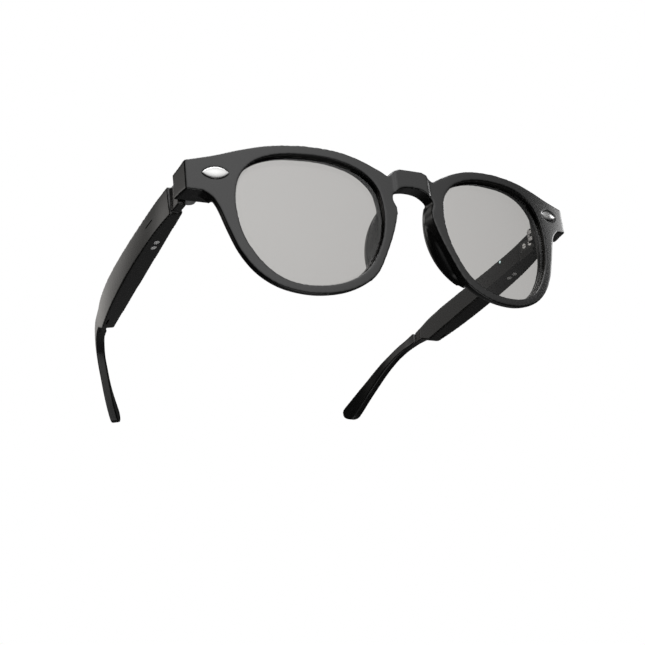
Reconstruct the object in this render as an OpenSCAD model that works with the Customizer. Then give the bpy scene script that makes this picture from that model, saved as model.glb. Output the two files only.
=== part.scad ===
// Smart glasses: a one-piece bowed front with a keyhole bridge and two lenses, and two folding
// temples that each hold their own electronics. Millimetres, +X to the wearer's left, the lenses
// face -Y, the temples run back along +Y. The glasses stand on their rims and temple tips at z = 0.
// Every piece is drawn in the front's own upright frame, then stand() tips it onto the table.

/* [Front] */
// Depth of the rims, front to back
rim_depth = 4.7; // [4.4:0.1:5.4]
// Radius of the front's bow, seen from above
bow_r = 290; // [260:5:340]
// How far the bridge block stands forward of the rims
bridge_step = 0.45; // [0.2:0.05:0.9]
// Depth of the bridge block, front to back
bridge_depth = 5.4; // [5:0.1:6.6]
// Largest radius of the swell of a nose pad
pad_r = 3.9; // [3.4:0.1:4.2]
// Length of a nose pad
pad_length = 28; // [25:0.5:29]

/* [Lenses] */
// Radius of the lens surfaces
lens_r = 190; // [170:5:240]
// Thickness of a lens
lens_t = 2; // [1.8:0.1:2.2]
// How deep a lens edge sits in its groove
lens_edge = 0.7; // [0.5:0.1:0.9]

/* [Rivets] */
// Length of a leaf-shaped rivet head
rivet_length = 8.1; // [7.4:0.1:8.4]
// Height of a leaf-shaped rivet head
rivet_height = 3.7; // [3.2:0.1:4]
// How far a rivet head stands proud of the front
rivet_proud = 0.3; // [0.2:0.05:0.5]

/* [Hinges] */
// Radius of the hinge barrel
barrel_r = 1.8; // [1.7:0.05:1.85]
// Radius of the hinge screw's shaft
screw_r = 0.8; // [0.7:0.05:0.9]
// Running clearance of the temple knuckle on the screw
running_gap = 0.04; // [0.02:0.01:0.08]

/* [Temples] */
// Wall thickness of the temple shell
wall = 1.2; // [1:0.1:1.3]
// Thickness of the inner cover plate
cover_t = 1.2; // [1:0.1:1.3]
// Thickness of the ear tip, side to side
tip_t = 3.4; // [3:0.1:3.8]
// Radius of the two charging contacts
contact_r = 0.95; // [0.8:0.05:1.1]
// Distance between the two charging contacts
contact_pitch = 3.2; // [2.8:0.1:3.6]

/* [Stand] */
// Angle that tips the upright front onto its rims and ear tips
stand_tilt = 3.77; // [3.4:0.005:4.4]
// Height of the front's reference line above the table
stand_height = 42.003; // [38:0.001:46]
// Distance of the front's reference line ahead of the middle of the footprint
stand_forward = 66.04; // [60:0.01:74]

/* [Hidden] */

$fn = 96;
fit = 0.02;           // gap between pieces that are fixed to each other
far = 30;             // overshoot of a cutting body
curve_steps = 5;      // points drawn between two control points of a curve

// ---- curves ----
function lerp(a, b, t) = a + (b - a) * t;
function blend4(a, b, c, d, t) =
    0.5 * (2 * b + (c - a) * t + (2 * a - 5 * b + 4 * c - d) * t * t
    + (3 * b - a - 3 * c + d) * t * t * t);
// A smooth open curve through its control points
function curve(p, n = curve_steps) = let (last = len(p) - 1) concat(
    [for (i = [0:last - 1]) for (k = [0:n - 1])
        blend4(p[max(i - 1, 0)], p[i], p[i + 1], p[min(i + 2, last)], k / n)],
    [p[last]]);
// A smooth closed curve through its control points
function loop(p, n = curve_steps) = let (m = len(p))
    [for (i = [0:m - 1]) for (k = [0:n - 1])
        blend4(p[(i + m - 1) % m], p[i], p[(i + 1) % m], p[(i + 2) % m], k / n)];
function flip(p) = [for (i = [len(p) - 1:-1:0]) [-p[i][0], p[i][1]]];
function back_to_front(p) = [for (i = [len(p) - 1:-1:0]) p[i]];
// Unit normal to the left of the way from a to b
function left_of(a, b) = [a[1] - b[1], b[0] - a[0]] / norm(b - a);
// A closed outline drawn clockwise, grown outward by d
function grown(p, d) = let (m = len(p))
    [for (i = [0:m - 1]) p[i] + d * left_of(p[(i + m - 1) % m], p[(i + 1) % m])];
// An open line moved sideways by the distances in w
function beside(p, w) = let (last = len(p) - 1)
    [for (i = [0:last]) p[i] + w[i] * left_of(p[max(i - 1, 0)], p[min(i + 1, last)])];

// ---- placing ----
module stand() translate([0, -stand_forward, stand_height]) rotate([stand_tilt, 0, 0]) children();
// Left pieces are drawn as they are, right pieces are their mirror image
module side(s) stand() mirror([s < 0 ? 1 : 0, 0, 0]) children();
module both() {
    children();
    mirror([1, 0, 0]) children();
}
// Outline in X and Z, run along Y from y0 to y1
module along_y(points, y0, y1)
    translate([0, y1, 0]) rotate([90, 0, 0]) linear_extrude(y1 - y0) polygon(points);
// Outline in Y and Z, run along X from x0 to x1
module along_x(points, x0, x1)
    translate([x0, 0, 0]) rotate([90, 0, 90]) linear_extrude(x1 - x0) polygon(points);
// Outline in X and Y, run along Z from z0 to z1
module along_z(points, z0, z1)
    translate([0, 0, z0]) linear_extrude(z1 - z0) polygon(points);
module block(low, high) translate(low) cube(high - low);
// Cylinder along +Y that starts at the given point
module rod_y(start, r, h) translate(start) rotate([-90, 0, 0]) cylinder(r = r, h = h);

// ---- front: shape ----
bow_y = -10.2;                                 // front of the bow on the centre line
function bow(x) = bow_y + bow_r - sqrt(bow_r * bow_r - x * x);
end_x = 73.1;                                  // side of the front
end_back = 6.2;                                // back of the end pieces
end_flare = 1.5;                               // how far their backs stand out sideways
end_bottom = -9.3;

brow = curve([[8.9, -1.1], [12.3, 0.8], [17.5, 3.1], [24.5, 5.2], [32.5, 6.15], [40.5, 6.2],
    [49, 5.4], [57, 3.65], [65, 1.5], [end_x, 0]]);
rim_foot = curve([[68.4, -9.9], [65.8, -12], [64, -15.3], [61.9, -21.4], [58.9, -28.6],
    [54.4, -34.8], [48.3, -39.1], [41, -41.2], [34, -41.5], [26.8, -40.3], [20.4, -37.5],
    [15.9, -33.7], [11.8, -26.6], [8.7, -20], [6.8, -14.4], [6.7, -11.7], [7.7, -8.8], [6.9, -7],
    [4.7, -5.35], [2.4, -4.7], [0, -4.55]]);
bridge_top = [[0, 1.6], [4.6, 1.5], [6.2, 0.9], [7.3, -0.2], [8.2, -1]];
half_front = concat(bridge_top, brow, [[end_x, end_bottom]], rim_foot);
front_outline = concat(half_front, flip(half_front));

lens_outline = loop([[11.8, -12], [13.3, -5.4], [18.6, -0.4], [27, 2.4], [36.5, 3.15], [46, 2.5],
    [53.3, -0.3], [57.8, -5.8], [59.1, -14], [57.3, -24], [52, -32.6], [45, -37.5], [36, -38.8],
    [26.6, -37.1], [19, -32.4], [14.2, -24.7], [12.2, -18.2]]);
lens_middle = [35.6, -17.8];
lens_recess = 0.4;                             // lens face behind the rim's face, at its middle
lens_turn = asin(lens_middle[0] / bow_r);      // the bow turns each lens outward
lens_focus = [lens_middle[0] - lens_r * sin(lens_turn),
    bow(lens_middle[0]) + lens_recess + lens_r * cos(lens_turn), lens_middle[1]];

module bow_shell() translate([0, bow_y + bow_r, -2 * far]) difference() {
    cylinder(r = bow_r, h = 4 * far, $fn = 720);
    translate([0, 0, -1]) cylinder(r = bow_r - rim_depth, h = 4 * far + 2, $fn = 720);
}

// Wedge cut from the rear outer edge of a rim, from below the end piece round to the nose
bevel_from = 5;                                // first and last point of rim_foot it follows
bevel_to = 60;
bevel_start = 2.1;                             // depth at which the bevel leaves the side of the rim
bevel_w = 1.7;                                 // how far it has run in at the rear of the rim
module rear_bevel() {
    rise = (rim_depth - bevel_start) / bevel_w;
    out = 0.8;
    section = [[out, bevel_start - out * rise], [-bevel_w - 0.5, rim_depth + 0.5 * rise],
        [out, rim_depth + 3]];
    points = [for (i = [bevel_from:bevel_to]) for (q = section) let (
        p = (rim_foot[i] + rim_foot[i + 1]) / 2,
        n = left_of(rim_foot[i - 1] + rim_foot[i], rim_foot[i + 1] + rim_foot[i + 2])
    ) [p[0] + q[0] * n[0], bow(p[0]) + q[1], p[1] + q[0] * n[1]]];
    last = len(points) - 3;
    sides = [for (i = [0:3:last - 3]) for (k = [0:2]) let (a = i + k, b = i + (k + 1) % 3)
        each [[a, a + 3, b], [b, a + 3, b + 3]]];
    polyhedron(points, concat([[0, 1, 2], [last + 2, last + 1, last]], sides));
}

module rims() difference() {
    intersection() {
        along_y(front_outline, -far, far);
        bow_shell();
    }
    both() {
        along_y(lens_outline, -far, far);
        rear_bevel();
    }
}

module bridge_block() {
    face_w = 6.2;
    chamfer_w = 1.5;
    face_y = bow_y - bridge_step;
    plan = [[face_w, face_y], [face_w + 2 * chamfer_w, face_y + 2.2], [9.5, bow_y + rim_depth],
        [8.3, face_y + bridge_depth]];
    intersection() {
        along_y(front_outline, -far, far);
        along_z(concat(plan, flip(plan)), -far, far);
    }
}

// The thick end piece that carries the hinge: its top and foot slope down towards the temple
module end_piece() {
    top_drop = 2.1;
    foot_drop = 0.9;
    front_y = bow(end_x);
    intersection() {
        along_z([[end_x, front_y], [end_x + end_flare, end_back], [63.3, end_back], [62.3, 0.5],
            [66, -1.5]], -far, far);
        along_x([[front_y - 3, 0.8], [end_back + 1, -top_drop - 0.25],
            [end_back + 1, end_bottom - foot_drop], [front_y - 3, end_bottom + 0.4]], 60, 80);
    }
}

// What is cut away so that the top of the rim runs down into the sloping end piece
module end_slope() intersection() {
    along_z([[64.5, end_back + 1], [66.5, 2.2], [71, -0.5], [78, -0.5], [78, end_back + 1]], -far, far);
    along_x([[-2, 1.3], [end_back + 1, -2.45], [end_back + 1, far], [-2, far]], 60, 80);
}

// Spindle-shaped swell along the nose side of the rim
module nose_pad() {
    half = pad_length / 2;
    arc_r = (half * half + pad_r * pad_r) / (2 * pad_r);
    lean = 19;
    steps = 20;
    blunt = 0.2;                               // radius of each end
    swell = [for (i = [-steps:steps]) let (z = half * i / steps)
        [max(blunt, sqrt(arc_r * arc_r - z * z) - arc_r + pad_r), z]];
    difference() {
        translate([12, -4.6, -21.5]) rotate([0, -lean, 0]) rotate([0, 0, 90])
            rotate_extrude() polygon(concat([[0, -half]], swell, [[0, half]]));
        along_y(lens_outline, -far, -5.6);
    }
}

module lens_body(edge, gap) intersection() {
    along_y(grown(lens_outline, edge), -far, far);
    translate(lens_focus) difference() {
        sphere(r = lens_r + gap, $fn = 720);
        sphere(r = lens_r - lens_t - gap, $fn = 720);
    }
}

// ---- rivets ----
rivet_at = [64.5, bow(64.5), -4.2];
rivet_turn = asin(rivet_at[0] / bow_r);
rivet_seat = 0.6;                              // depth of the head's seat in the front
rivet_pin_r = 0.55;
rivet_pins = [64.7, 67.1];
leaf_plate_y = 5;                              // front of the hinge leaf in the end piece

module leaf(gap) {
    arc_r = (rivet_length * rivet_length + rivet_height * rivet_height) / (4 * rivet_height);
    translate(rivet_at) rotate([0, 0, rivet_turn]) translate([0, rivet_seat, 0]) rotate([90, 0, 0])
        intersection_for (up = [-1, 1])
            translate([0, up * (arc_r - rivet_height / 2), 0])
                cylinder(r = arc_r + gap, h = rivet_seat + rivet_proud);
}
module rivet_pin_pair(gap) for (x = rivet_pins)
    rod_y([x, rivet_at[1] + 0.4, rivet_at[2]], rivet_pin_r + gap, end_back - 0.05 - rivet_at[1] - 0.4);

// ---- hinges ----
pin_x = 68.1;
pin_y = 10.5;
knuckle_top = -4.4;                            // top of the upper knuckle
knuckle_foot = -8.4;                           // foot of the lower knuckle
knuckle_h = 1.4;                               // height of each knuckle on the front
end_gap = 0.05;                                // play between stacked knuckles
leaf_low = [63.7, leaf_plate_y, -8.9];
leaf_high = [70.3, end_back, -3];
temple_leaf_low = [70.05, 12.42, -9.1];
temple_leaf_high = [71.3, 20, -5.4];
head_h = 0.7;
leaf_screw_r = 0.5;
leaf_screw_spots = [[14.6, -7.3], [17.8, -7.3]]; // Y and Z of the two screws

module knuckle(z0, z1, bore) difference() {
    union() {
        translate([pin_x, pin_y, z0]) cylinder(r = barrel_r, h = z1 - z0);
        children();
    }
    translate([pin_x, pin_y, z0 - 1]) cylinder(r = bore, h = z1 - z0 + 2);
}
module front_knuckle(z0) knuckle(z0, z0 + knuckle_h, screw_r + fit)
    block([pin_x - barrel_r, end_back - 0.6, z0], [pin_x + barrel_r, pin_y, z0 + knuckle_h]);

// ---- temples: shape ----
slope = 0.1887;                                // fall of the temple's flat foot along its length
slope_deg = atan(slope);
roll = 6.5;                                    // the temple's top leans outward by this angle
lean = 0.1;                                    // extra rise of the flat foot towards the head
lean_deg = atan(lean * cos(slope_deg));
lean_x = 76.2;                                 // where foot_z is measured
foot_y = 12.4;                                 // where the full section starts
foot_z = -12.5;
function foot(y) = foot_z - slope * (y - foot_y);
inner_x = 69.3;                                // inner face at the front of the temple
inner_yaw = 0.7;                               // angle by which that face leans outward to the rear
cover_y = [21, 93.5];                          // front and back edge of the cover plate
seam_y = 97.5;                                 // joint between shell and ear tip
thick_end = 85;                                // where the foot of the thick section ends
tongue_x = [70.2, 73.1];
tongue_y = 6.5;
tongue_z = [-11, -3.3];

outer_line = curve([[73.5, foot_y], [75, 20], [76.05, 29], [76.75, 42], [76.9, 55], [76.5, 70],
    [75.3, 84], [73.3, seam_y]]);
top_line = curve([[foot_y, -3.2], [28, -6.9], [48, -10.1], [68, -12.8], [84, -15.6], [92, -17.9],
    [seam_y, -19.5]]);
foot_line = [[foot_y, foot(foot_y)], [thick_end, foot(thick_end)], [86.6, foot(thick_end) + 0.3],
    [91.4, -24.3], [93, -23.8], [seam_y, -24.3]];

tip_centre = curve([[seam_y, -21.9], [104, -23.8], [110, -26.3], [116, -29.9], [120, -33.1],
    [125, -37.7], [130, -42.6], [136.2, -49.6]]);
tip_last = len(tip_centre) - 1;
tip_half = [for (p = tip_centre)
    lookup(p[0], [[seam_y, 2.3], [104, 1.9], [112, 1.8], [120, 2.15], [137, 3.4]])];
tip_outer = curve([[73.3, seam_y], [72, 104], [69.4, 114], [66.6, 122], [63, 131], [57.6, 141]]);
tip_start = 3.9;                               // thickness of the tip where it meets the shell

// Everything below the flat foot, which leans towards the head; up raises the cut
module under_foot(up) translate([lean_x, foot_y, foot_z + up]) rotate([-slope_deg, 0, 0])
    rotate([0, lean_deg, 0]) translate([-far, -far, -far]) cube([2 * far, 5 * far, far]);

// The temple is rolled about the line of its foot, so that its outer face looks slightly down
module rolled() translate([lean_x, foot_y, foot_z]) rotate([-slope_deg, 0, 0]) rotate([0, roll, 0])
    rotate([slope_deg, 0, 0]) translate([-lean_x, -foot_y, -foot_z]) children();

// The inner face runs slightly outward to the rear
module along_inner() translate([inner_x, foot_y, 0]) rotate([0, 0, -inner_yaw])
    translate([-inner_x, -foot_y, 0]) children();
function inner_at(y) = inner_x + (y - foot_y) * tan(inner_yaw);

module shell_block() {
    rolled() difference() {
        intersection() {
            along_z(concat(outer_line, [[inner_at(seam_y), seam_y], [inner_x, foot_y]]), -far, far);
            along_x(concat(top_line, back_to_front(foot_line)), 60, 80);
        }
        under_foot(0);
    }
    // Tongue that closes against the end piece, rounded where it swings past the hinge
    round_r = 1.4;
    depth = foot_y + 0.5 - tongue_y;
    difference() {
        block([tongue_x[0], tongue_y, tongue_z[0]], [tongue_x[1], tongue_y + depth, tongue_z[1]]);
        translate([tongue_x[0] + round_r, tongue_y + round_r, -far]) difference() {
            translate([-round_r - 1, -round_r - 1, 0]) cube([round_r + 1, round_r + 1, 2 * far]);
            cylinder(r = round_r, h = 2 * far);
        }
    }
}

function lowered(p, dz) = [for (q = p) [q[0], q[1] + dz]];
function narrowed(p, dx) = [for (q = p) [q[0] - dx, q[1]]];

// Room for the electronics, open towards the head
module cavity() difference() {
    intersection() {
        along_z(concat(narrowed(outer_line, wall), [[60, seam_y], [60, foot_y]]), -far, far);
        along_x(concat(lowered(top_line, -wall), back_to_front(lowered(foot_line, wall))), 60, 80);
        block([60, cover_y[0] + wall, -far], [80, cover_y[1] - wall, far]);
    }
    under_foot(wall + 0.1);
}
// Step that the cover plate sits in
module cover_seat(gap) difference() {
    rim = 0.4;                                 // width of the shell's edge around the plate
    intersection() {
        along_inner() along_x(concat(lowered(top_line, -rim + gap),
            back_to_front(lowered(foot_line, rim - gap))), inner_x - 1, inner_x + cover_t + gap);
        block([60, cover_y[0] - gap, -far], [80, cover_y[1] + gap, far]);
    }
    under_foot(rim - gap);
}

// Points on the temple's faces
function outer_x(y) = lookup(y, [for (p = outer_line) [p[1], p[0]]]);
mic_y = 25.2;
mic_z = -10.2;
mic_slot = [0.5, 5];
contact_x = 72.6;
contact_y = 29.9;
vent_y = 80.9;
vent_x = 74.3;
led_at = [33, -8.85];                          // Y and Z of the light
pinhole_at = [35, -10.8];
light_r = 0.5;

module at_foot(x, y) translate([x, y, foot(y) + lean * (lean_x - x)])
    rotate([-slope_deg, 0, 0]) rotate([0, lean_deg, 0]) children();
module contact_pair() for (i = [-0.5, 0.5])
    at_foot(contact_x, contact_y + i * contact_pitch * cos(slope_deg)) children();
module mic_place() translate([outer_x(mic_y), mic_y, mic_z]) rotate([-slope_deg, 0, 0]) children();

// Core wire: a bent rod through the points below
core_path = [[72.9, 90.5, -20.2], [71.7, seam_y, -21.9], [70.2, 104, -23.8], [67.6, 114, -28.7],
    [64.9, 122, -34.9], [62.8, 127.5, -40.2]];
core_r = 0.6;
core_swell = 0.03;                             // how far the rounded bends stand out
module bent_rod(r) {
    for (i = [0:len(core_path) - 2]) {
        a = core_path[i];
        d = core_path[i + 1] - a;
        translate(a) rotate([0, acos(d[2] / norm(d)), atan2(d[1], d[0])]) {
            sphere(r = r + core_swell);
            cylinder(r = r, h = norm(d));
        }
    }
    translate(core_path[len(core_path) - 1]) sphere(r = r + core_swell);
}

// ---- front: nodes ----
module front_frame() color("#1d1d1d") stand() difference() {
    union() {
        rims();
        bridge_block();
        both() end_piece();
        both() nose_pad();
    }
    both() {
        end_slope();
        lens_body(lens_edge + fit, fit);
        leaf(fit);
        rivet_pin_pair(fit);
        block(leaf_low - [fit, fit, fit], leaf_high + [fit, 1, fit]);
    }
}
module lens(s) color([0.7, 0.7, 0.68, 0.35]) side(s) lens_body(lens_edge, 0);
module rivet(s) color("silver") side(s) {
    leaf(0);
    rivet_pin_pair(0);
}

// ---- hinges: nodes ----
module hinge_front(s) color("silver") side(s) difference() {
    union() {
        block(leaf_low, leaf_high);
        front_knuckle(knuckle_foot);
        front_knuckle(knuckle_top - knuckle_h);
    }
    rivet_pin_pair(fit);
}
module hinge_screw(s) color("gainsboro") side(s) translate([pin_x, pin_y, 0]) difference() {
    union() {
        translate([0, 0, knuckle_foot]) cylinder(r = screw_r, h = knuckle_top - knuckle_foot + 0.1);
        translate([0, 0, knuckle_top + fit]) cylinder(r = 1.45, h = head_h);
    }
    translate([-2, -0.2, knuckle_top + head_h - 0.3]) cube([4, 0.4, 1]);
}
module hinge_temple(s) color("silver") side(s) difference() {
    z0 = knuckle_foot + knuckle_h + end_gap;
    z1 = knuckle_top - knuckle_h - end_gap;
    union() {
        knuckle(z0, z1, screw_r + running_gap)
            block([pin_x, pin_y + 0.6, z0], [temple_leaf_low[0] + 0.1, temple_leaf_low[1] + 0.5, z1]);
        block(temple_leaf_low, temple_leaf_high);
    }
    leaf_screw_pair(fit);
}
module leaf_screw_pair(gap) for (p = leaf_screw_spots)
    translate([temple_leaf_low[0] - 0.01, p[0], p[1]]) rotate([0, 90, 0]) {
        cylinder(r = 0.95 + gap, h = 0.6 + gap);
        cylinder(r = leaf_screw_r + gap, h = 2.4);
    }
module leaf_screws(s) color("gainsboro") side(s) difference() {
    leaf_screw_pair(0);
    for (p = leaf_screw_spots)
        translate([temple_leaf_low[0] - 1, p[0] - 1.2, p[1] - 0.12]) cube([1.25, 2.4, 0.24]);
}

// ---- temples: nodes ----
module temple(s) side(s) rolled() children();
module temple_shell(s) color("#1d1d1d") side(s) difference() {
    shell_block();
    block(temple_leaf_low - [2, 1.6, fit], temple_leaf_high + [fit, fit, fit]);
    leaf_screw_pair(fit);
    rolled() {
        cavity();
        cover_seat(fit);
        bent_rod(core_r + fit);
        contact_pair() translate([0, 0, -1]) cylinder(r = contact_r + fit, h = 2 + wall);
        at_foot(vent_x, vent_y) translate([-0.35, -1.9, -1]) cube([0.7, 3.8, 2 + wall]);
        mic_place() translate([-wall - 1, -mic_slot[1] / 2, -mic_slot[0] / 2])
            cube([wall + 2, mic_slot[1], mic_slot[0]]);
    }
}
module temple_cover(s) color("#262626") temple(s) difference() {
    intersection() {
        cover_seat(0);
        along_inner() block([inner_x, 0, -far], [80, 100, far]);
    }
    if (s > 0) along_inner() {
        translate([inner_x - 1, led_at[0], led_at[1]]) rotate([0, 90, 0]) cylinder(r = light_r + fit, h = 4);
        translate([inner_x - 1, pinhole_at[0], pinhole_at[1]]) rotate([0, 90, 0]) cylinder(r = 0.35, h = 4);
    }
}
module temple_tip(s) color("#1d1d1d") temple(s) difference() {
    intersection() {
        along_z(concat(tip_outer, [for (i = [len(tip_outer) - 1:-1:0])
            tip_outer[i] - [lerp(tip_start, tip_t, min(1, i / 4)), 0]]), -2 * far, far);
        union() {
            along_x(concat(beside(tip_centre, tip_half), back_to_front(beside(tip_centre, -tip_half))),
                40, 80);
            translate([40, tip_centre[tip_last][0], tip_centre[tip_last][1]]) rotate([0, 90, 0])
                cylinder(r = tip_half[tip_last], h = 40);
        }
        block([40, seam_y + fit, -80], [80, 160, far]);
    }
    bent_rod(core_r + fit);
}
module core_wire(s) color("silver") temple(s) bent_rod(core_r);

// ---- electronics: nodes ----
inside_x = inner_x + cover_t + 0.1;            // first free width behind the cover
module at_slope(y, z) along_inner() translate([0, y, z]) rotate([-slope_deg, 0, 0]) children();

module battery(s) color("#3f5f8f") temple(s) at_slope(63, -17.1) {
    cell = [3, 26, 6];
    translate([inside_x, -cell[1] / 2, -cell[2] / 2]) cube(cell);
    translate([inside_x + 0.6, -cell[1] / 2 - 1.4, -cell[2] / 2 + 0.8]) cube([1.4, 1.5, cell[2] - 1.6]);
}
module circuit_board(s) color("#1f6b3a") temple(s) at_slope(36, -12.4) {
    board = [0.8, 22, 4.6];
    chip_x = inside_x + board[0] - 0.05;
    translate([inside_x, -board[1] / 2, -board[2] / 2]) cube(board);
    for (chip = [[-2.6, -1.8, 5.4, 3.6], [4.4, -1.6, 3, 2.8], [8.2, -0.4, 2.2, 1.6]])
        translate([chip_x, chip[0], chip[1]]) cube([0.9, chip[2], chip[3]]);
}
module speaker(s) color("#30343a") temple(s) at_slope(81, -20.3) {
    box = [2.2, 7.4, 5];
    translate([inside_x, -box[1] / 2, -box[2] / 2]) cube(box);
}
module speaker_mesh(s) color("#101010") temple(s)
    at_foot(vent_x, vent_y) translate([-1.25, -2.1, wall + 0.25]) cube([1.1, 4.2, 0.3]);
module microphone(s) color("#b9a27a") temple(s) mic_place()
    translate([-wall - 1.5, -1.6, -1.1]) cube([1, 3.2, 2.2]);
module touch_pad(s) color("#b87333") temple(s) at_slope(44, -13.6)
    translate([outer_x(44) - wall - 0.5 - (44 - foot_y) * tan(inner_yaw), -5, -2.2]) cube([0.2, 10, 4.4]);
module charge_contacts(s) color("silver") temple(s) contact_pair() {
    translate([0, 0, 0.1]) cylinder(r = contact_r, h = wall + 0.25);
    translate([0, 0, wall + 0.3]) cylinder(r = contact_r + 0.1, h = 0.4);
}
module status_led() color("aquamarine") temple(1) along_inner()
    translate([inner_x + 0.05, led_at[0], led_at[1]]) rotate([0, 90, 0]) cylinder(r = light_r, h = cover_t - 0.2);

front_frame();
lens(1);  // lens_left
lens(-1);  // lens_right
rivet(1);  // rivet_left
rivet(-1);  // rivet_right
hinge_front(1);  // hinge_front_left
hinge_front(-1);  // hinge_front_right
hinge_screw(1);  // hinge_screw_left
hinge_screw(-1);  // hinge_screw_right
hinge_temple(1);  // hinge_temple_left
hinge_temple(-1);  // hinge_temple_right
leaf_screws(1);  // leaf_screws_left
leaf_screws(-1);  // leaf_screws_right
temple_shell(1);  // temple_shell_left
temple_shell(-1);  // temple_shell_right
temple_cover(1);  // temple_cover_left
temple_cover(-1);  // temple_cover_right
temple_tip(1);  // temple_tip_left
temple_tip(-1);  // temple_tip_right
core_wire(1);  // core_wire_left
core_wire(-1);  // core_wire_right
battery(1);  // battery_left
battery(-1);  // battery_right
circuit_board(1);  // circuit_board_left
circuit_board(-1);  // circuit_board_right
speaker(1);  // speaker_left
speaker(-1);  // speaker_right
speaker_mesh(1);  // speaker_mesh_left
speaker_mesh(-1);  // speaker_mesh_right
microphone(1);  // microphone_left
microphone(-1);  // microphone_right
touch_pad(1);  // touch_pad_left
touch_pad(-1);  // touch_pad_right
charge_contacts(1);  // charge_contacts_left
charge_contacts(-1);  // charge_contacts_right
status_led();  // status_led_left
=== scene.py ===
"""Looks of the smart glasses: rounded moulded pieces, materials, light and camera around the CAD frame."""
import math

import bmesh
import bpy
from mathutils import Matrix, Vector


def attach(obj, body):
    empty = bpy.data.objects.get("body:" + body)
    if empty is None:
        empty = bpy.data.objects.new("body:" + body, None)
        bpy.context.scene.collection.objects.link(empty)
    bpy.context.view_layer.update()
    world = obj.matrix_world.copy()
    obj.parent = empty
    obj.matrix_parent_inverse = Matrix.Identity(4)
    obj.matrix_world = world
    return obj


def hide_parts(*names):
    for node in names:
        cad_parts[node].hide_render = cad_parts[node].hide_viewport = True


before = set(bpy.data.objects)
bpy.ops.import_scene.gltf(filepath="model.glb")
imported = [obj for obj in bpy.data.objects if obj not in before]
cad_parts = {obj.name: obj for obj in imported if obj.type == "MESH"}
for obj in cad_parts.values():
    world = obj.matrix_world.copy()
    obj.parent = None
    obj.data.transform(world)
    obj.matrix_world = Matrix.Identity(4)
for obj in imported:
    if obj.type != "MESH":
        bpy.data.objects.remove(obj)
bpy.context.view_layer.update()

MM = 0.001
SIDES = {"left": 1, "right": -1}

# ---- the front's own upright frame, in millimetres, and how it stands on the table ----
STAND_TILT = 3.77  # degrees
STAND_FORWARD, STAND_HEIGHT = 66.04, 42.003
STAND = (
    Matrix.Translation((0, -STAND_FORWARD * MM, STAND_HEIGHT * MM))
    @ Matrix.Rotation(math.radians(STAND_TILT), 4, "X")
)
SEAM_Y = 97.51  # joint between a temple's shell and its ear tip, along the temple
ROLL = 6.5  # the temples are rolled about the line of their foot, in degrees
ROLL_AT = Vector((76.2, 12.4, -12.5))  # a point of that line
FALL = 0.1887  # how far that line falls for each millimetre back
SLOPE = math.degrees(math.atan(FALL))


def temple_space(s):
    """From a left temple's own millimetres to metres in the row frame, mirrored for the right."""
    roll = (
        Matrix.Translation(ROLL_AT)
        @ Matrix.Rotation(math.radians(-SLOPE), 4, "X")
        @ Matrix.Rotation(math.radians(ROLL), 4, "Y")
        @ Matrix.Rotation(math.radians(SLOPE), 4, "X")
        @ Matrix.Translation(-ROLL_AT)
    )
    return STAND @ Matrix.Diagonal((s * MM, MM, MM, 1)) @ roll


def front_space(s):
    """From the left half of the front's millimetres to metres in the row frame, mirrored for the right."""
    return STAND @ Matrix.Diagonal((s * MM, MM, MM, 1))


# ---- meshes ----
WELD = 1e-6  # points closer than this are one, in metres


def link(name, data):
    """A new object in the scene, around a mesh, light or camera."""
    piece = bpy.data.objects.new(name, data)
    bpy.context.scene.collection.objects.link(piece)
    return piece


def copy_of(nodes, name):
    """One welded mesh from several CAD nodes."""
    bm = bmesh.new()
    for node in nodes:
        bm.from_mesh(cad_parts[node].data)
    bmesh.ops.remove_doubles(bm, verts=bm.verts, dist=WELD)
    mesh = bpy.data.meshes.new(name)
    bm.to_mesh(mesh)
    bm.free()
    return link(name, mesh)


def apply_modifiers(piece):
    """Makes the modifiers' result the piece's own mesh, shaded smooth."""
    graph = bpy.context.evaluated_depsgraph_get()
    mesh = bpy.data.meshes.new_from_object(piece.evaluated_get(graph))
    piece.modifiers.clear()
    piece.data = mesh
    for face in mesh.polygons:
        face.use_smooth = True
    return piece


def joined(name, parts):
    """One object from several, which are removed."""
    bm = bmesh.new()
    for part in parts:
        bm.from_mesh(part.data)
        bpy.data.objects.remove(part)
    mesh = bpy.data.meshes.new(name)
    bm.to_mesh(mesh)
    bm.free()
    return link(name, mesh)


SOFTENING = 0.5  # how far each round of smoothing moves a point
BAR_SIDES, CONTACT_SIDES = 40, 48
OPENING_CREASE = 50  # edges sharper than this stay sharp around a carved opening, in degrees


def moulded(nodes, name, voxel, rounds, plugs=()):
    """The CAD solids' shape with rounded edges, remeshed at a voxel in millimetres; plugs are added to it."""
    piece = joined(name, [copy_of(nodes, name), *plugs])
    skin = piece.modifiers.new("skin", "REMESH")
    skin.mode = "VOXEL"
    skin.voxel_size = voxel * MM
    soft = piece.modifiers.new("soft", "SMOOTH")
    soft.factor = SOFTENING
    soft.iterations = rounds
    return apply_modifiers(piece)


def carve(piece, tools):
    """Cuts small openings, with the crisp edges that rounding would lose."""
    cutter = joined("cutter", tools)
    opening = piece.modifiers.new("openings", "BOOLEAN")
    opening.operation = "DIFFERENCE"
    opening.solver = "MANIFOLD"
    opening.object = cutter
    apply_modifiers(piece)
    bpy.data.objects.remove(cutter)
    piece.data.set_sharp_from_angle(angle=math.radians(OPENING_CREASE))


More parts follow.
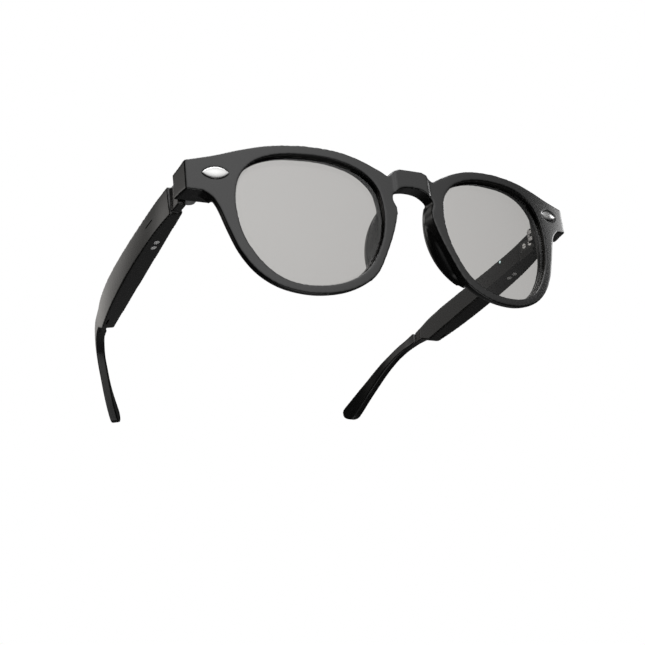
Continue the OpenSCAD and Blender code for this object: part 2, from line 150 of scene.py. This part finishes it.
def cut(piece, name, point, normal):
    """A copy of what lies on the normal's side of a plane, closed where it is cut."""
    bm = bmesh.new()
    bm.from_mesh(piece.data)
    bmesh.ops.bisect_plane(
        bm, geom=bm.verts[:] + bm.edges[:] + bm.faces[:], plane_co=point, plane_no=normal, clear_inner=True
    )
    rim = [e for e in bm.edges if e.is_boundary]
    bmesh.ops.holes_fill(bm, edges=rim)
    for face in bm.faces:
        face.smooth = True
    for edge in rim:
        if edge.is_valid:
            edge.smooth = False
    mesh = bpy.data.meshes.new(name)
    bm.to_mesh(mesh)
    bm.free()
    return link(name, mesh)


def smooth_loop(points, steps=8):
    """A smooth closed curve through its control points."""
    made, count = [], len(points)
    for i in range(count):
        a, b, c, d = (Vector(points[(i + k) % count]) for k in (-1, 0, 1, 2))
        for k in range(steps):
            t = k / steps
            square, cube = 2 * a - 5 * b + 4 * c - d, 3 * b - a - 3 * c + d
            made.append(0.5 * (2 * b + (c - a) * t + square * t * t + cube * t ** 3))
    return made


def grown(points, distance):
    """A closed outline drawn clockwise, grown outward."""
    made = []
    for i, p in enumerate(points):
        way = points[(i + 1) % len(points)] - points[i - 1]
        made.append(p + distance * Vector((-way.y, way.x)).normalized())
    return made


def stacked(name, rings, space):
    """A closed skin over rings of points, with a fan to the middle of the first and the last."""
    bm = bmesh.new()
    rows = [[bm.verts.new(space @ Vector(p)) for p in ring] for ring in rings]
    count = len(rows[0])
    for low, high in zip(rows, rows[1:]):
        for i in range(count):
            j = (i + 1) % count
            bm.faces.new((low[i], low[j], high[j], high[i]))
    for ring, row in ((rings[0], rows[0]), (rings[-1], rows[-1])):
        middle = sum((Vector(p) for p in ring), Vector()) / count
        tip = bm.verts.new(space @ middle)
        for i in range(count):
            bm.faces.new((row[i], row[(i + 1) % count], tip))
    bmesh.ops.recalc_face_normals(bm, faces=bm.faces)
    for face in bm.faces:
        face.smooth = True
    mesh = bpy.data.meshes.new(name)
    bm.to_mesh(mesh)
    bm.free()
    return link(name, mesh)


def box_ring(space, low, high):
    """A box between two corners, in its own space."""
    (x0, y0, z0), (x1, y1, z1) = low, high
    rings = [[(x, y0, z0), (x, y1, z0), (x, y1, z1), (x, y0, z1)] for x in (x0, x1)]
    return stacked("box", rings, space)


def round_rings(profile, sides):
    """A ring of points for each radius and height of a turned profile."""
    angles = [math.tau * k / sides for k in range(sides)]
    return [[(r * math.cos(a), r * math.sin(a), z) for a in angles] for r, z in profile]


def round_bar(space, radius, z0, z1, end_radius=None):
    """A round bar from z0 to z1, tapered where it ends in another radius."""
    ends = ((radius, z0), (radius if end_radius is None else end_radius, z1))
    return stacked("bar", round_rings(ends, BAR_SIDES), space)


# ---- openings in a temple: microphone slot, sound vent and the seats of the charging contacts ----
FOOT_LEAN = 0.1  # how far the foot's face rises for each millimetre inwards
LEAN_DEG = math.degrees(math.atan(FOOT_LEAN * math.cos(math.radians(SLOPE))))
MIC_AT, MIC_YAW = (75.66, 25.2, -10.2), 6.7
MIC_HALF = (2.5, 0.25)  # half the slot's length and height
VENT_AT = (74.3, 80.9)
VENT_HALF = (0.35, 1.9)  # half the vent's width and length
CONTACT_X, CONTACTS_MIDDLE, CONTACT_PITCH = 72.6, 29.9, 3.2
CONTACT_SEAT_R = 0.97
CONTACTS_AT = [
    (CONTACT_X, CONTACTS_MIDDLE + k * CONTACT_PITCH * math.cos(math.radians(SLOPE))) for k in (-0.5, 0.5)
]


def foot_place(space, x, y):
    """A place on the face of a temple's foot, its z axis pointing into the temple."""
    z = ROLL_AT.z - FALL * (y - ROLL_AT.y) + FOOT_LEAN * (ROLL_AT.x - x)
    return (
        space @ Matrix.Translation((x, y, z)) @ Matrix.Rotation(math.radians(-SLOPE), 4, "X")
        @ Matrix.Rotation(math.radians(LEAN_DEG), 4, "Y")
    )


def opening_tools(space, grow, proud, deep):
    """Solids the size of the openings, grown a little, from proud outside the face to deep inside it."""
    mic = (
        space @ Matrix.Translation(MIC_AT) @ Matrix.Rotation(math.radians(-MIC_YAW), 4, "Z")
        @ Matrix.Rotation(math.radians(-SLOPE), 4, "X")
    )
    long, tall = (half + grow for half in MIC_HALF)
    tools = [box_ring(mic, (-deep, -long, -tall), (proud, long, tall))]
    wide, long = (half + grow for half in VENT_HALF)
    tools.append(box_ring(foot_place(space, *VENT_AT), (-wide, -long, -proud), (wide, long, deep)))
    for x, y in CONTACTS_AT:
        tools.append(round_bar(foot_place(space, x, y), CONTACT_SEAT_R + grow, -proud, deep))
    return tools


# ---- lenses and rivets: the CAD's outlines with finer curves, and a crown on the rivets ----
BOW_Y, BOW_R = -10.2, 290.0
LENS_R, LENS_T, LENS_EDGE, LENS_RECESS = 190.0, 2.0, 0.7, 0.4
LENS_MIDDLE = Vector((35.6, -17.8))
LENS_POINTS = (
    (11.8, -12), (13.3, -5.4), (18.6, -0.4), (27, 2.4), (36.5, 3.15), (46, 2.5), (53.3, -0.3), (57.8, -5.8),
    (59.1, -14), (57.3, -24), (52, -32.6), (45, -37.5), (36, -38.8), (26.6, -37.1), (19, -32.4),
    (14.2, -24.7), (12.2, -18.2),
)
LENS_RINGS = 14  # from the middle of a lens to its edge
RIVET_LENGTH, RIVET_HEIGHT, RIVET_SEAT = 8.1, 3.7, 0.6
RIVET_AT = (64.5, -4.2)
RIVET_BLUNT = 0.03  # how much each point of the leaf is cut back
RIVET_STEPS = 28
# Share of the leaf's outline and depth into the front, from its seat out to its crown. The CAD's head is flat
# and stands 0.3 out, so the middle of this one reaches further out than the CAD's.
RIVET_PROFILE = (
    (1, RIVET_SEAT), (1, -0.04), (0.975, -0.12), (0.9, -0.23), (0.78, -0.34), (0.6, -0.45), (0.4, -0.53),
    (0.2, -0.575),
)
RIVET_PINS, RIVET_PIN_R, RIVET_PIN_START, RIVET_PIN_END = (64.7, 67.1), 0.55, 0.5, 6.15


def bow(x):
    """How far back the bowed front face is at x."""
    return BOW_Y + BOW_R - math.sqrt(BOW_R * BOW_R - x * x)


def lens(name, s):
    """A lens whose two faces are parts of spheres about one centre."""
    turn = math.asin(LENS_MIDDLE.x / BOW_R)
    focus = Vector((
        LENS_MIDDLE.x - LENS_R * math.sin(turn),
        bow(LENS_MIDDLE.x) + LENS_RECESS + LENS_R * math.cos(turn),
        LENS_MIDDLE.y,
    ))
    outline = grown(smooth_loop(LENS_POINTS), LENS_EDGE)

    def on_sphere(point, radius):
        dx, dz = point.x - focus.x, point.y - focus.z
        return (point.x, focus.y - math.sqrt(radius * radius - dx * dx - dz * dz), point.y)

    shares = [k / LENS_RINGS for k in range(1, LENS_RINGS + 1)]
    front_rings = [[on_sphere(LENS_MIDDLE.lerp(p, t), LENS_R) for p in outline] for t in shares]
    back_rings = [[on_sphere(LENS_MIDDLE.lerp(p, t), LENS_R - LENS_T) for p in outline] for t in shares]
    return stacked(name, front_rings + back_rings[::-1], front_space(s))


def rivet(name, s):
    """A crowned leaf-shaped head that thins to two points, over two pins."""
    arc = (RIVET_LENGTH ** 2 + RIVET_HEIGHT ** 2) / (4 * RIVET_HEIGHT)
    turn = Matrix.Rotation(math.asin(RIVET_AT[0] / BOW_R), 4, "Z")
    space = front_space(s) @ Matrix.Translation((RIVET_AT[0], bow(RIVET_AT[0]), RIVET_AT[1])) @ turn
    reach = RIVET_LENGTH / 2 - RIVET_BLUNT
    along = [-reach * math.cos(math.pi * k / RIVET_STEPS) for k in range(RIVET_STEPS + 1)]
    tall = [math.sqrt(arc * arc - x * x) - (arc - RIVET_HEIGHT / 2) for x in along]
    leaf = list(zip(along, tall)) + [(x, -h) for x, h in reversed(list(zip(along, tall))[1:-1])]
    parts = [stacked(name, [[(x * k, y, z * k) for x, z in leaf] for k, y in RIVET_PROFILE], space)]
    start = bow(RIVET_AT[0]) + RIVET_PIN_START
    backwards = Matrix.Rotation(-math.pi / 2, 4, "X")
    for x in RIVET_PINS:
        pin = front_space(s) @ Matrix.Translation((x, start, RIVET_AT[1])) @ backwards
        parts.append(round_bar(pin, RIVET_PIN_R, 0, RIVET_PIN_END - start))
    return joined(name, parts)


# Radius and depth into the foot, from the inner flange out to the domed face. The CAD's face lies 0.1 below
# the foot's, and this one stands 0.1 above it.
CONTACT_PROFILE = (
    (1.05, 1.9), (1.05, 1.5), (0.95, 1.5), (0.95, 0.03), (0.94, -0.02), (0.9, -0.06), (0.8, -0.08),
    (0.6, -0.09), (0.36, -0.1), (0.18, -0.1),
)


def contacts(name, space):
    """The two charging contacts of a temple, each with a softly domed face."""
    rings = round_rings(CONTACT_PROFILE, CONTACT_SIDES)
    return joined(name, [stacked(name, rings, foot_place(space, x, y)) for x, y in CONTACTS_AT])


# Outlines of a temple's shell, as distance along it and place across it
SHELL_OUTER = (
    (12.4, 73.5), (20, 75), (29, 76.05), (42, 76.75), (55, 76.9), (70, 76.5), (84, 75.3), (97.5, 73.3),
)
SHELL_TOP = ((12.4, -3.2), (28, -6.9), (48, -10.1), (68, -12.8), (84, -15.6), (92, -17.9), (97.5, -19.5))
SHELL_FOOT = ((12.4, -12.5), (85, -26.2), (91.4, -24.3), (97.5, -24.3))
CROWN_END, CROWN_FADE = 97.4, 8.0  # where the crown stops short of the tip, and the length it fades over
CROWN_SKIN, CROWN_BLEND = 1.0, 0.8  # how deep under the outer face it reaches, and blends in over


def clamped(value):
    return min(1.0, max(0.0, value))


def at(table, y):
    """The value at y, straight between the table's points."""
    for (y0, v0), (y1, v1) in zip(table, table[1:]):
        if y <= y1:
            return v0 + (v1 - v0) * max(0.0, (y - y0) / (y1 - y0))
    return table[-1][1]


def crown(piece, space, depth):
    """Rounds a temple's flat outer face from top to bottom, most along its upper edge."""
    back = space.inverted()
    for vertex in piece.data.vertices:
        p = back @ vertex.co
        if p.y < CROWN_END and p.x > at(SHELL_OUTER, p.y) - CROWN_SKIN:
            high, low = at(SHELL_TOP, p.y), at(SHELL_FOOT, p.y)
            t = clamped((p.z - low) / (high - low))
            fade = min(1.0, (CROWN_END - p.y) / CROWN_FADE)
            near = clamped((p.x - at(SHELL_OUTER, p.y) + CROWN_SKIN) / CROWN_BLEND)
            p.x -= depth * t * t * fade * near
            vertex.co = space @ p


# ---- materials ----
LENS_TINT = ((0.672, 0.666, 0.657), (0.682, 0.676, 0.667))  # share of light each lens surface lets through
LENS_GLINT = 0.035  # share of light each lens surface reflects, seen square on
LENS_STEEPNESS = 5  # power by which that share grows towards a grazing view


def material(name):
    """A new material with its nodes, links and main shader."""
    made = bpy.data.materials.new(name)
    made.use_nodes = True
    tree = made.node_tree
    return made, tree.nodes, tree.links, tree.nodes["Principled BSDF"]


def noise(nodes, links, scale, detail=3.0, rough=0.5, stretch=None):
    """Noise fixed to the object, with so many swings to the metre."""
    coord = nodes.new("ShaderNodeTexCoord")
    tex = nodes.new("ShaderNodeTexNoise")
    tex.inputs["Scale"].default_value = scale
    tex.inputs["Detail"].default_value = detail
    tex.inputs["Roughness"].default_value = rough
    if stretch:
        mapping = nodes.new("ShaderNodeMapping")
        mapping.inputs["Scale"].default_value = stretch
        links.new(coord.outputs["Object"], mapping.inputs["Vector"])
        links.new(mapping.outputs["Vector"], tex.inputs["Vector"])
    else:
        links.new(coord.outputs["Object"], tex.inputs["Vector"])
    return tex.outputs["Fac"]


def spread(nodes, links, source, low, high, at=(0.3, 0.7)):
    """Maps a 0 to 1 value to the range low to high."""
    ramp = nodes.new("ShaderNodeMapRange")
    ramp.inputs["From Min"].default_value = at[0]
    ramp.inputs["From Max"].default_value = at[1]
    ramp.inputs["To Min"].default_value = low
    ramp.inputs["To Max"].default_value = high
    links.new(source, ramp.inputs["Value"])
    return ramp.outputs["Result"]


def mix_colour(nodes, links, factor, a, b):
    mix = nodes.new("ShaderNodeMix")
    mix.data_type = "RGBA"
    mix.inputs["A"].default_value = (*a, 1)
    mix.inputs["B"].default_value = (*b, 1)
    links.new(factor, mix.inputs["Factor"])
    return mix.outputs["Result"]


def bump(nodes, links, shader, height, depth, strength=1.0):
    """Relief of a depth in millimetres."""
    node = nodes.new("ShaderNodeBump")
    node.inputs["Strength"].default_value = strength
    node.inputs["Distance"].default_value = depth * MM
    links.new(height, node.inputs["Height"])
    links.new(node.outputs["Normal"], shader.inputs["Normal"])


PLASTIC_UNEVEN = 0.012  # how far a plastic's roughness varies either way
EDGE_POLISH = 0.08  # how much smoother an edge is worn
EDGE_RANGE = (0.54, 0.64)  # pointiness from a flat face to a worn edge


def plastic(name, dark, light, rough):
    """Satin moulded plastic: a fine grain, faint cloudiness and edges polished by handling."""
    made, nodes, links, shader = material(name)
    cloud = noise(nodes, links, 90, 4)
    links.new(mix_colour(nodes, links, cloud, dark, light), shader.inputs["Base Color"])
    worn = nodes.new("ShaderNodeNewGeometry").outputs["Pointiness"]
    uneven = noise(nodes, links, 700, 5)
    base = spread(nodes, links, uneven, rough - PLASTIC_UNEVEN, rough + PLASTIC_UNEVEN)
    polish = nodes.new("ShaderNodeMath")
    polish.operation = "SUBTRACT"
    links.new(base, polish.inputs[0])
    links.new(spread(nodes, links, worn, 0.0, EDGE_POLISH, EDGE_RANGE), polish.inputs[1])
    links.new(polish.outputs[0], shader.inputs["Roughness"])
    bump(nodes, links, shader, noise(nodes, links, 2600, 3), 0.001, 0.02)
    return made


METAL_DIM = 0.86  # the darker of a metal's two tones, as a share of the lighter
METAL_UNEVEN = 0.3  # how far a metal's roughness varies, as a share of it


def metal(name, colour, rough, grain=0.0, stretch=None, metallic=1.0):
    """Metal with a slightly uneven tone and polish, and a brushed grain where one is given."""
    made, nodes, links, shader = material(name)
    tone = noise(nodes, links, 500, 3)
    dim = tuple(c * METAL_DIM for c in colour)
    links.new(mix_colour(nodes, links, tone, dim, colour), shader.inputs["Base Color"])
    shader.inputs["Metallic"].default_value = metallic
    fine = noise(nodes, links, 3000, 2, 0.5, stretch)
    least, most = rough * (1 - METAL_UNEVEN), rough * (1 + METAL_UNEVEN)
    links.new(spread(nodes, links, fine, least, most), shader.inputs["Roughness"])
    if grain:
        bump(nodes, links, shader, fine, grain, 0.5)
    return made


LEAF_EDGE = Vector((70, 12.1, -7))  # where the black coating of the hinge leaf starts
LEAF_BLUR = 0.3  # half the width of that edge
LEAF_BRIGHT, LEAF_COAT = (0.66, 0.66, 0.67), (0.012, 0.012, 0.012)


def coated_leaf(name):
    """Bright steel at the hinge's knuckle, black coating on the leaf that is screwed to the temple."""
    made, nodes, links, shader = material(name)
    coord = nodes.new("ShaderNodeTexCoord")
    place = nodes.new("ShaderNodeSeparateXYZ")
    links.new(coord.outputs["Object"], place.inputs[0])
    edge = (front_space(1) @ LEAF_EDGE).y
    edges = (edge - LEAF_BLUR * MM, edge + LEAF_BLUR * MM)
    coated = spread(nodes, links, place.outputs["Y"], 0.0, 1.0, edges)
    links.new(mix_colour(nodes, links, coated, LEAF_BRIGHT, LEAF_COAT), shader.inputs["Base Color"])
    links.new(spread(nodes, links, coated, 1.0, 0.0, (0, 1)), shader.inputs["Metallic"])
    grain = noise(nodes, links, 2500, 3, 0.5, (1, 1, 8))
    links.new(spread(nodes, links, grain, 0.18, 0.3), shader.inputs["Roughness"])
    bump(nodes, links, shader, grain, 0.003, 0.4)
    return made


def lens_material():
    """Clear, lightly grey: what lies behind shows through, dimmed, under a faint reflection."""
    made, nodes, links, shader = material("lens_clear")
    nodes.remove(shader)
    through = nodes.new("ShaderNodeBsdfTransparent")
    cloud = noise(nodes, links, 25, 2)
    links.new(mix_colour(nodes, links, cloud, LENS_TINT[0], LENS_TINT[1]), through.inputs["Color"])
    gloss = nodes.new("ShaderNodeBsdfGlossy")
    links.new(spread(nodes, links, noise(nodes, links, 60, 4), 0.04, 0.09), gloss.inputs["Roughness"])
    facing = nodes.new("ShaderNodeLayerWeight")
    facing.inputs["Blend"].default_value = 0.5
    steep = nodes.new("ShaderNodeMath")
    steep.operation = "POWER"
    steep.inputs[1].default_value = LENS_STEEPNESS
    links.new(facing.outputs["Facing"], steep.inputs[0])
    mix = nodes.new("ShaderNodeMixShader")
    links.new(spread(nodes, links, steep.outputs[0], LENS_GLINT, 1.0, (0, 1)), mix.inputs["Fac"])
    links.new(through.outputs[0], mix.inputs[1])
    links.new(gloss.outputs[0], mix.inputs[2])
    links.new(mix.outputs[0], nodes["Material Output"].inputs["Surface"])
    return made


def led_material():
    """A faintly glowing, pale blue-green light pipe."""
    made, nodes, links, shader = material("led_glow")
    glow = mix_colour(nodes, links, noise(nodes, links, 2500, 2), (0.62, 0.93, 0.95), (0.85, 1.0, 1.0))
    links.new(glow, shader.inputs["Base Color"])
    links.new(glow, shader.inputs["Emission Color"])
    shader.inputs["Emission Strength"].default_value = 1.2
    shader.inputs["Roughness"].default_value = 0.25
    return made


def board_material():
    """Green solder mask with faint copper tracks under it."""
    made, nodes, links, shader = material("board_green")
    brick = nodes.new("ShaderNodeTexBrick")
    coord = nodes.new("ShaderNodeTexCoord")
    links.new(coord.outputs["Object"], brick.inputs["Vector"])
    brick.inputs["Scale"].default_value = 900
    brick.inputs["Mortar Size"].default_value = 0.03
    brick.inputs["Color1"].default_value = (0.01, 0.09, 0.035, 1)
    brick.inputs["Color2"].default_value = (0.012, 0.11, 0.04, 1)
    brick.inputs["Mortar"].default_value = (0.03, 0.2, 0.07, 1)
    links.new(brick.outputs["Color"], shader.inputs["Base Color"])
    links.new(spread(nodes, links, noise(nodes, links, 900), 0.25, 0.4), shader.inputs["Roughness"])
    bump(nodes, links, shader, brick.outputs["Fac"], 0.02, 0.4)
    return made


def mesh_material():
    """Woven black mesh behind the sound vent, with painted shade: the sunken middle of each cell is coloured
    near-black.
    """
    made, nodes, links, shader = material("mesh_black")
    coord = nodes.new("ShaderNodeTexCoord")
    cells = nodes.new("ShaderNodeTexVoronoi")
    cells.inputs["Scale"].default_value = 5000
    cells.inputs["Randomness"].default_value = 0.0
    links.new(coord.outputs["Object"], cells.inputs["Vector"])
    gap_and_shade = spread(nodes, links, cells.outputs["Distance"], 0.0, 1.0, (0.1, 0.5))
    # painted shade: the middle of each cell, where the weave would open, is coloured near-black
    tone = mix_colour(nodes, links, gap_and_shade, (0.004, 0.004, 0.004), (0.05, 0.05, 0.05))
    links.new(tone, shader.inputs["Base Color"])
    shader.inputs["Roughness"].default_value = 0.55
    bump(nodes, links, shader, gap_and_shade, 0.05)
    return made


def foil_material():
    """Creased satin foil of a pouch battery, with painted shade: darker in the hollows of its creases than on
    their ridges.
    """
    made, nodes, links, shader = material("battery_foil")
    crease_and_shade = noise(nodes, links, 160, 6, 0.6)
    # painted shade: the same noise as the creases' relief colours the foil darker in their hollows
    tone = mix_colour(nodes, links, crease_and_shade, (0.5, 0.52, 0.56), (0.66, 0.68, 0.72))
    links.new(tone, shader.inputs["Base Color"])
    shader.inputs["Metallic"].default_value = 0.9
    links.new(spread(nodes, links, crease_and_shade, 0.28, 0.45), shader.inputs["Roughness"])
    bump(nodes, links, shader, crease_and_shade, 0.15, 0.5)
    return made


frame_black = plastic("frame_satin_black", (0.004, 0.004, 0.004), (0.0065, 0.0065, 0.0065), 0.19)
temple_black = plastic("temple_satin_black", (0.005, 0.0047, 0.0044), (0.008, 0.0075, 0.007), 0.21)
tip_black = plastic("tip_satin_black", (0.004, 0.004, 0.004), (0.006, 0.006, 0.006), 0.20)
inner_black = plastic("cover_satin_black", (0.006, 0.006, 0.006), (0.009, 0.009, 0.009), 0.24)
speaker_black = plastic("speaker_black", (0.02, 0.02, 0.021), (0.03, 0.03, 0.031), 0.6)
polished = metal("polished_steel", (0.80, 0.80, 0.80), 0.12)
rivet_steel = metal("rivet_steel", (0.56, 0.56, 0.555), 0.24)
brushed = metal("hinge_steel", (0.66, 0.66, 0.67), 0.24, 0.004, (1, 1, 8))
contact = metal("contact_plate", (0.95, 0.95, 0.94), 0.45, metallic=0.15)
sensor = metal("sensor_can", (0.72, 0.60, 0.36), 0.3)
copper = metal("copper_film", (0.72, 0.43, 0.28), 0.3)
leaf_steel = coated_leaf("hinge_leaf")
clear = lens_material()
led = led_material()
board = board_material()
weave = mesh_material()
foil = foil_material()


def paint(piece, finish):
    piece.data.materials.clear()
    piece.data.materials.append(finish)


BEVEL_STEPS, BEVEL_OVER = 3, 40  # steps of a rounded edge, and the angle in degrees above which one is made


def stand_for(piece, finish, body, node):
    """Puts a finished piece in the place of a CAD node."""
    paint(piece, finish)
    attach(piece, body)
    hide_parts(node)


def carry(node, finish, edge=0.0):
    """Keeps a CAD node, with a finish and, where it shows, rounded edges."""
    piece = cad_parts[node]
    paint(piece, finish)
    if edge:
        weld = piece.modifiers.new("weld", "WELD")
        weld.merge_threshold = WELD
        round_edges = piece.modifiers.new("edges", "BEVEL")
        round_edges.width = edge * MM
        round_edges.segments = BEVEL_STEPS
        round_edges.limit_method = "ANGLE"
        round_edges.angle_limit = math.radians(BEVEL_OVER)


# ---- front: both ends of each nose pad run out into the rim ----
PAD_RUNS = (  # point in the pad and its radius, point in the rim and its radius
    ((8.7, -4.7, -11.4), 1.8, (9.3, -7.2, -4.8), 1.0),
    ((15.3, -4.7, -31.2), 1.8, (18.3, -6.9, -35.4), 1.0),
)
FRONT_VOXEL, FRONT_ROUNDS = 0.25, 20
FRONT_KEPT = 0.64  # share of the front's triangles kept, for a mesh of under 200,000
HINGE_EDGE, SCREW_EDGE = 0.12, 0.08  # rounding of the hinge leaves' and hinge screws' edges
runs = []
for s in SIDES.values():
    for start, radius, end, end_radius in PAD_RUNS:
        way = Vector(end) - Vector(start)
        aim = way.to_track_quat("Z", "Y").to_matrix().to_4x4()
        place = front_space(s) @ Matrix.Translation(start) @ aim
        runs.append(round_bar(place, radius, 0, way.length, end_radius=end_radius))
front = moulded(["front_frame"], "front_moulding", FRONT_VOXEL, FRONT_ROUNDS, runs)
thin = front.modifiers.new("thin", "DECIMATE")
thin.ratio = FRONT_KEPT
apply_modifiers(front)
stand_for(front, frame_black, "front", "front_frame")

for side, s in SIDES.items():
    stand_for(lens(f"lens_clear_{side}", s), clear, "front", f"lens_{side}")
    stand_for(rivet(f"rivet_leaf_{side}", s), rivet_steel, "front", f"rivet_{side}")
    carry(f"hinge_front_{side}", brushed, HINGE_EDGE)
    carry(f"hinge_screw_{side}", polished, SCREW_EDGE)

# ---- temples: their openings are plugged before the edges are rounded, and carved again afterwards ----
TEMPLE_VOXEL, TEMPLE_ROUNDS = 0.22, 16
COVER_VOXEL, COVER_ROUNDS = 0.2, 10
CROWN_DEPTH = 0.5
PLUG_GROW, PLUG_PROUD, PLUG_DEEP = 0.06, -0.03, 1.15
CARVE_PROUD, CARVE_DEEP = 1.0, 1.6
CARRIED = {  # CAD nodes that stay in a temple, with their finish
    "leaf_screws": polished,
    "core_wire": brushed,
    "battery": foil,
    "circuit_board": board,
    "speaker": speaker_black,
    "speaker_mesh": weave,
    "microphone": sensor,
    "touch_pad": copper,
}
for side, s in SIDES.items():
    body = f"temple_{side}"
    space = temple_space(s)
    plugs = opening_tools(space, PLUG_GROW, PLUG_PROUD, PLUG_DEEP)
    solids = [f"temple_shell_{side}", f"temple_tip_{side}"]
    whole = moulded(solids, f"temple_blank_{side}", TEMPLE_VOXEL, TEMPLE_ROUNDS, plugs)
    crown(whole, space, CROWN_DEPTH)
    carve(whole, opening_tools(space, 0.0, CARVE_PROUD, CARVE_DEEP))
    seam = space @ Vector((70, SEAM_Y, -20))
    along = (space.to_3x3() @ Vector((0, 1, 0))).normalized()
    for name, normal, finish in (("shell", -along, temple_black), ("tip", along, tip_black)):
        piece = cut(whole, f"temple_{name}_moulding_{side}", seam, normal)
        stand_for(piece, finish, body, f"temple_{name}_{side}")
    bpy.data.objects.remove(whole)
    cover = moulded([f"temple_cover_{side}"], f"temple_cover_plate_{side}", COVER_VOXEL, COVER_ROUNDS)
    stand_for(cover, inner_black, body, f"temple_cover_{side}")
    carry(f"hinge_temple_{side}", leaf_steel, HINGE_EDGE)
    for node, finish in CARRIED.items():
        carry(f"{node}_{side}", finish)
    pins = contacts(f"contact_pair_{side}", space)
    stand_for(pins, contact, body, f"charge_contacts_{side}")
carry("status_led_left", led)

# ---- stage ----
FLOOR_Z, FLOOR_R = -0.45, 0.22  # far below, because the camera looks up at the glasses
floor_mesh = bpy.data.meshes.new("floor")
bm = bmesh.new()
bmesh.ops.create_circle(bm, cap_ends=True, segments=96, radius=FLOOR_R)
bm.to_mesh(floor_mesh)
bm.free()
floor = link("floor", floor_mesh)
floor.location = (0, 0, FLOOR_Z)
floor_finish, nodes, links, shader = material("floor_pale")
links.new(
    mix_colour(nodes, links, noise(nodes, links, 3, 2), (0.80, 0.80, 0.80), (0.84, 0.84, 0.84)),
    shader.inputs["Base Color"],
)
shader.inputs["Roughness"].default_value = 0.7
paint(floor, floor_finish)

# ---- light: plain white where the camera sees past the glasses, and soft lobes that light them ----
GLOWS = (  # direction, strength (below 0 for a dark panel), narrowness, colour
    ((-0.10, -0.90, 0.43), 2.03, 2.4, (1, 1, 1)),
    ((-0.90, -0.20, 0.42), -0.5, 8, (1, 1, 1)),
    ((0.945, -0.15, 0.29), 14.0, 260, (1, 1, 1)),
    ((-0.76, 0.57, 0.31), 1.7, 50, (1, 0.98, 0.95)),
    ((-0.12, 0.87, 0.48), 0.95, 20, (1, 0.975, 0.94)),
    ((0.45, 0.75, -0.48), 0.1, 6, (1, 1, 1)),
)
AMBIENT = 0.01  # light from every side
world = bpy.data.worlds.new("studio")
bpy.context.scene.world = world
world.use_nodes = True
nodes, links = world.node_tree.nodes, world.node_tree.links
seen = nodes["Background"]
seen.inputs["Color"].default_value = (1, 1, 1, 1)
seen.inputs["Strength"].default_value = 1.0
coord = nodes.new("ShaderNodeTexCoord")
total = None
for direction, strength, narrow, colour in GLOWS:
    dot = nodes.new("ShaderNodeVectorMath")
    dot.operation = "DOT_PRODUCT"
    links.new(coord.outputs["Generated"], dot.inputs[0])
    dot.inputs[1].default_value = Vector(direction).normalized()
    ahead = nodes.new("ShaderNodeMath")
    ahead.operation = "MAXIMUM"
    ahead.inputs[1].default_value = 0.0
    links.new(dot.outputs["Value"], ahead.inputs[0])
    lobe = nodes.new("ShaderNodeMath")
    lobe.operation = "POWER"
    lobe.inputs[1].default_value = narrow
    links.new(ahead.outputs[0], lobe.inputs[0])
    tinted = nodes.new("ShaderNodeVectorMath")
    tinted.operation = "SCALE"
    tinted.inputs[0].default_value = Vector(colour) * strength
    links.new(lobe.outputs[0], tinted.inputs["Scale"])
    added = nodes.new("ShaderNodeVectorMath")
    added.operation = "ADD"
    links.new(tinted.outputs[0], added.inputs[0])
    if total is None:
        added.inputs[1].default_value = (AMBIENT, AMBIENT, AMBIENT)
    else:
        links.new(total, added.inputs[1])
    total = added.outputs[0]
lit = nodes.new("ShaderNodeBackground")
least = nodes.new("ShaderNodeVectorMath")
least.operation = "MAXIMUM"
least.inputs[1].default_value = (0, 0, 0)
links.new(total, least.inputs[0])
links.new(least.outputs[0], lit.inputs["Color"])
ray = nodes.new("ShaderNodeLightPath")
mix = nodes.new("ShaderNodeMixShader")
links.new(ray.outputs["Is Camera Ray"], mix.inputs["Fac"])
links.new(lit.outputs[0], mix.inputs[1])
links.new(seen.outputs[0], mix.inputs[2])
links.new(mix.outputs[0], nodes["World Output"].inputs["Surface"])


OVERHEAD_Z, OVERHEAD_SIZE, OVERHEAD_POWER = 0.9, 0.8, 9
light = bpy.data.lights.new("overhead", "AREA")
light.shape = "RECTANGLE"
light.size = light.size_y = OVERHEAD_SIZE
light.energy = OVERHEAD_POWER
lamp = link("overhead", light)
lamp.location = (0, 0, OVERHEAD_Z)  # an area light shines down unless it is turned

# ---- camera: its place in the front's millimetres, the way it looks and its right hand ----
EYE = Vector((-160.47, -222.43, -120.13))
LOOK = Vector((0.48025, 0.83405, 0.27151))
RIGHT = Vector((0.87615, -0.47081, -0.10346))
FOCAL, SENSOR = 49.77, 36
camera_data = bpy.data.cameras.new("camera")
camera_data.lens = FOCAL
camera_data.sensor_width = SENSOR
camera_data.clip_start = 0.01
camera = link("camera", camera_data)
bpy.context.scene.camera = camera
turn = STAND.to_3x3()
look, right = (turn @ LOOK).normalized(), (turn @ RIGHT).normalized()
up = right.cross(look)
basis = Matrix((right, up, -look)).transposed()
camera.matrix_world = Matrix.Translation(STAND @ (EYE * MM)) @ basis.to_4x4()
bpy.context.scene.view_settings.view_transform = "Standard"
